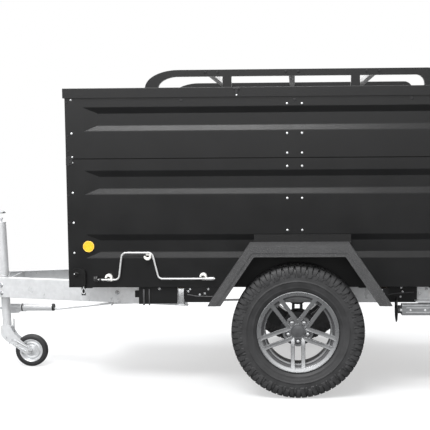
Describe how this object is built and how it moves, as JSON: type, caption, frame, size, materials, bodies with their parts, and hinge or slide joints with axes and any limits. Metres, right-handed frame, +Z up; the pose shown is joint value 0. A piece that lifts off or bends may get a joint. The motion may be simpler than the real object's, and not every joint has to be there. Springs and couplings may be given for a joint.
{
  "type": "off-road box trailer",
  "caption": "Single-axle off-road box trailer: black ribbed box with hinged lid, roof rack and tailgate on a galvanised V drawbar with mudguards, jockey wheel and rear steadies.",
  "frame": {"origin": "on the floor, under the middle of the overall length and width", "axes": "+Z up, the drawbar and coupling point to -X, the tailgate is at +X, the left side with the jockey wheel and the stowed crank is -Y"},
  "size_m": [3.972, 1.74, 1.7655],
  "materials": {
    "galvanised_steel": "satin zinc",
    "black_powder_coat": "satin",
    "cast_steel": "matte",
    "steel_fitting": "satin",
    "black_plastic": "matte",
    "white_plastic": "satin",
    "gaiter_rubber": "matte",
    "tyre_rubber": "matte",
    "silver_alloy": "satin",
    "jockey_rim_steel": "satin",
    "floor_plywood": "matte",
    "amber_reflector": "gloss",
    "red_lens": "gloss"
  },
  "bodies": {
    "chassis": {"axle_beam": "galvanised_steel", "body_brackets_left": "black_powder_coat", "body_brackets_right": "black_powder_coat", "brake_rod": "galvanised_steel", "brake_spring_cylinder": "galvanised_steel", "corner_fittings": "black_plastic", "coupling_handle": "black_plastic", "coupling_head": "cast_steel", "crank_clips": "white_plastic", "crank_handle": "galvanised_steel", "drawbar_beam_left": "galvanised_steel", "drawbar_beam_right": "galvanised_steel", "drawbar_cross_plate": "galvanised_steel", "floor_bearers": "black_powder_coat", "floor_panel": "floor_plywood", "front_board_lower": "black_powder_coat", "front_board_upper": "black_powder_coat", "handbrake_lever": "black_plastic", "jockey_clamp": "galvanised_steel", "jockey_outer_tube": "galvanised_steel", "knuckle_left": "cast_steel", "knuckle_right": "cast_steel", "light_bar": "black_powder_coat", "mudguard_left": "black_powder_coat", "mudguard_right": "black_powder_coat", "number_plate_holder": "black_plastic", "overrun_gaiter": "gaiter_rubber", "overrun_housing": "cast_steel", "rear_frame": "black_powder_coat", "rear_rail_left": "galvanised_steel", "rear_rail_right": "galvanised_steel", "rear_sill": "black_powder_coat", "side_board_lower_left": "black_powder_coat", "side_board_lower_right": "black_powder_coat", "side_board_upper_left": "black_powder_coat", "side_board_upper_right": "black_powder_coat", "side_reflectors": "amber_reflector", "tail_lamps": "red_lens"},
    "jockey_leg_body": {"jockey_leg": "galvanised_steel"},
    "jockey_fork_body": {"jockey_fork": "galvanised_steel"},
    "jockey_wheel": {"jockey_tyre": "tyre_rubber", "jockey_rim": "jockey_rim_steel"},
    "lid_body": {"lid": "black_powder_coat", "rack_rail_left": "black_powder_coat", "rack_rail_right": "black_powder_coat", "rack_crossbars": "black_powder_coat"},
    "tailgate_body": {"tailgate": "black_powder_coat", "tailgate_latches": "steel_fitting"},
    "wheel_left": {"tyre_left": "tyre_rubber", "rim_left": "silver_alloy", "brake_drum_left": "cast_steel"},
    "wheel_right": {"tyre_right": "tyre_rubber", "rim_right": "silver_alloy", "brake_drum_right": "cast_steel"},
    "steady_left": {"steady_leg_left": "galvanised_steel", "steady_foot_left": "black_powder_coat"},
    "steady_right": {"steady_leg_right": "galvanised_steel", "steady_foot_right": "black_powder_coat"}
  },
  "joints": [
    {"name": "jockey_lift", "type": "slide", "parent": "chassis", "child": "jockey_leg_body", "axis": [-0.0314, 0, 0.9995], "range_m": [0, 0.11]},
    {"name": "jockey_swivel", "type": "hinge", "parent": "jockey_leg_body", "child": "jockey_fork_body", "pos_m": [-1.0793, -0.08971, 0.25812], "axis": [-0.0314, 0, 0.9995], "continuous": true},
    {"name": "jockey_wheel_spin", "type": "hinge", "parent": "jockey_fork_body", "child": "jockey_wheel", "pos_m": [-0.92926, -0.08971, 0.1], "axis": [0, 1, 0], "continuous": true},
    {"name": "lid_hinge", "type": "hinge", "parent": "chassis", "child": "lid_body", "pos_m": [-0.563, 0, 1.61], "axis": [0, -1, 0], "range_deg": [0, 48]},
    {"name": "tailgate_hinge", "type": "hinge", "parent": "chassis", "child": "tailgate_body", "pos_m": [1.959, 0, 0.591], "axis": [0, 1, 0], "range_deg": [0, 90]},
    {"name": "wheel_left_spin", "type": "hinge", "parent": "chassis", "child": "wheel_left", "pos_m": [0.714, -0.7525, 0.358], "axis": [0, 1, 0], "continuous": true},
    {"name": "wheel_right_spin", "type": "hinge", "parent": "chassis", "child": "wheel_right", "pos_m": [0.714, 0.7525, 0.358], "axis": [0, 1, 0], "continuous": true},
    {"name": "steady_left_hinge", "type": "hinge", "parent": "chassis", "child": "steady_left", "pos_m": [1.664, -0.601, 0.442], "axis": [0, -1, 0], "range_deg": [0, 90]},
    {"name": "steady_right_hinge", "type": "hinge", "parent": "chassis", "child": "steady_right", "pos_m": [1.664, 0.601, 0.442], "axis": [0, -1, 0], "range_deg": [0, 90]}
  ]
}
